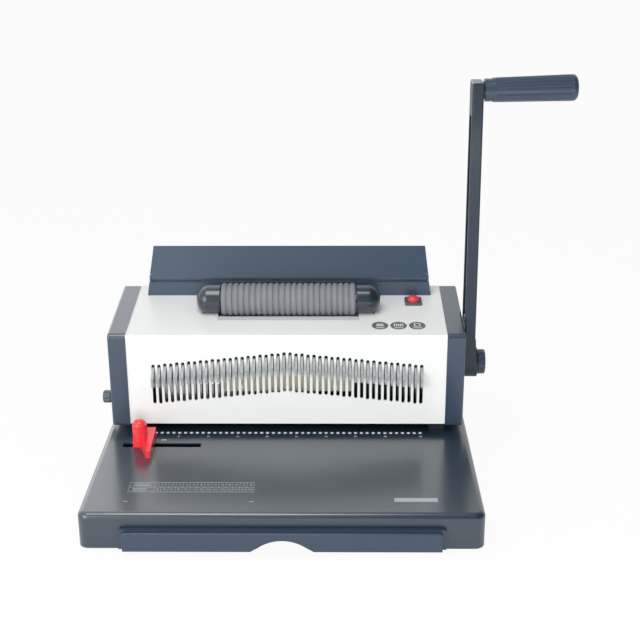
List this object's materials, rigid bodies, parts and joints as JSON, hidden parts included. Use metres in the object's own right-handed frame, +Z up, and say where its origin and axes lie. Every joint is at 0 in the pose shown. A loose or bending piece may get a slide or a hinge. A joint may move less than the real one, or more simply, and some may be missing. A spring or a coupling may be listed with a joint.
{
  "type": "coil punch and binding machine",
  "caption": "Desktop coil punch and binding machine with a side handle, slotted housing, paper table, edge stop, chip tray and a rubber coil roller.",
  "frame": {"origin": "on the desk, under the middle of the bounding box", "axes": "+Z up, +X to the right towards the handle, +Y to the back; paper goes in along +Y"},
  "size_m": [0.503, 0.32, 0.4176],
  "materials": {
    "slate_paint": "satin",
    "white_paint": "satin",
    "slate_plastic": "satin",
    "gloss_dark": "gloss",
    "grey_rubber": "matt",
    "black_rubber": "matt",
    "red_plastic": "gloss",
    "steel": "brushed",
    "dark_steel": "oiled",
    "passivated_steel": "passivated",
    "brass": "machined",
    "black_plastic": "matt",
    "board_green": "satin"
  },
  "bodies": {
    "frame": {"base_platform": "slate_paint", "base_pan": "slate_paint", "rubber_feet": "black_rubber", "foot_screws": "steel", "tray_runners": "dark_steel", "left_frame_plate": "dark_steel", "right_frame_plate": "dark_steel", "frame_screws": "steel", "cross_bar": "dark_steel", "die_plate": "dark_steel", "throat_spacers": "dark_steel", "pin_guide_plate": "dark_steel", "guide_rods": "steel", "return_springs": "steel", "shaft_bushes": "brass", "front_housing": "white_paint", "roller_trough": "steel", "drive_belt": "black_rubber", "left_end_cap": "gloss_dark", "right_end_cap": "gloss_dark", "roller_bushes": "brass", "drive_motor": "dark_steel", "motor_bracket": "dark_steel", "rear_rail": "slate_paint", "lid_hinge_pins": "steel", "button_bezel": "black_plastic", "button_switch": "black_plastic", "left_side_cover": "slate_paint", "right_side_cover": "slate_paint", "rear_panel": "slate_paint", "rear_screws": "steel", "power_inlet": "black_plastic", "control_board": "board_green"},
    "tray": {"chip_tray": "slate_paint"},
    "handle": {"main_shaft": "steel", "pinions": "dark_steel", "handle_hub": "slate_paint", "handle_arm": "slate_paint", "arm_screws": "steel", "grip_bolt": "steel", "grip_washer": "steel"},
    "grip": {"handle_grip": "slate_plastic"},
    "clamp_knob": {"handle_knob": "slate_plastic"},
    "beam": {"punch_beam": "passivated_steel", "punch_racks": "dark_steel", "punch_pins": "steel", "beam_screws": "steel"},
    "tabs": {"pin_tabs": "steel"},
    "lid": {"rear_lid": "slate_paint"},
    "roller": {"roller_sleeve": "grey_rubber", "roller_shaft": "steel", "roller_pulley": "black_plastic"},
    "motor_rotor": {"motor_pulley": "steel"},
    "button": {"button_cap": "red_plastic"},
    "edge_stop": {"edge_stop": "red_plastic", "edge_stop_nut": "steel"},
    "edge_stop_knob": {"edge_stop_knob": "red_plastic"},
    "depth_knob": {"depth_knob": "slate_plastic", "depth_cam": "steel"},
    "depth_stop": {"depth_stop_bar": "steel"}
  },
  "joints": [
    {"name": "handle_swing", "type": "hinge", "parent": "frame", "child": "handle", "pos_m": [-0.04594, 0.077, 0.103], "axis": [1, 0, 0], "range_deg": [0, 90], "stiffness_Nm_per_rad": 1.4, "springref_deg": -45.84},
    {"name": "punch_slide", "type": "slide", "parent": "frame", "child": "beam", "axis": [0, 0, -1], "range_m": [0, 0.0222], "deforming": ["return_springs"]},
    {"name": "tab_pull", "type": "slide", "parent": "beam", "child": "tabs", "axis": [0, -1, 0], "range_m": [0, 0.005]},
    {"name": "grip_spin", "type": "hinge", "parent": "handle", "child": "grip", "pos_m": [0.15562, 0.077, 0.4016], "axis": [0.9996, 0, 0.0279], "continuous": true},
    {"name": "clamp_knob_turn", "type": "hinge", "parent": "handle", "child": "clamp_knob", "pos_m": [0.16166, 0.077, 0.103], "axis": [1, 0, 0], "continuous": true},
    {"name": "lid_fold", "type": "hinge", "parent": "frame", "child": "lid", "pos_m": [-0.04594, 0.1294, 0.1825], "axis": [1, 0, 0], "range_deg": [0, 90]},
    {"name": "roller_spin", "type": "hinge", "parent": "frame", "child": "roller", "pos_m": [-0.04594, 0.087, 0.172], "axis": [1, 0, 0], "continuous": true},
    {"name": "motor_spin", "type": "hinge", "parent": "frame", "child": "motor_rotor", "pos_m": [0.03606, 0.112, 0.128], "axis": [1, 0, 0], "continuous": true},
    {"name": "button_push", "type": "slide", "parent": "frame", "child": "button", "axis": [0, 0.1045, -0.9945], "range_m": [0, 0.003], "stiffness_N_per_m": 300, "springref_m": -0.001},
    {"name": "tray_slide", "type": "slide", "parent": "frame", "child": "tray", "axis": [0, -1, 0], "range_m": [0, 0.19]},
    {"name": "edge_stop_slide", "type": "slide", "parent": "frame", "child": "edge_stop", "axis": [1, 0, 0], "range_m": [-0.01415, 0.05965]},
    {"name": "edge_stop_knob_turn", "type": "hinge", "parent": "edge_stop", "child": "edge_stop_knob", "pos_m": [-0.20064, -0.00545, 0.041], "axis": [0, 0, 1], "range_deg": [0, 180]},
    {"name": "depth_knob_turn", "type": "hinge", "parent": "frame", "child": "depth_knob", "pos_m": [-0.23524, 0.0685, 0.064], "axis": [1, 0, 0], "range_deg": [-4, 184]},
    {"name": "depth_stop_slide", "type": "slide", "parent": "frame", "child": "depth_stop", "axis": [0, -1, 0], "range_m": [0, 0.002]}
  ],
  "couplings": [
    {"joint": "punch_slide", "follows": "handle_swing", "m_per_rad": 0.014},
    {"joint": "motor_spin", "follows": "roller_spin", "ratio": 1.3333},
    {"joint": "depth_knob_turn", "follows": "depth_stop_slide", "rad_per_m": 1570.8}
  ]
}
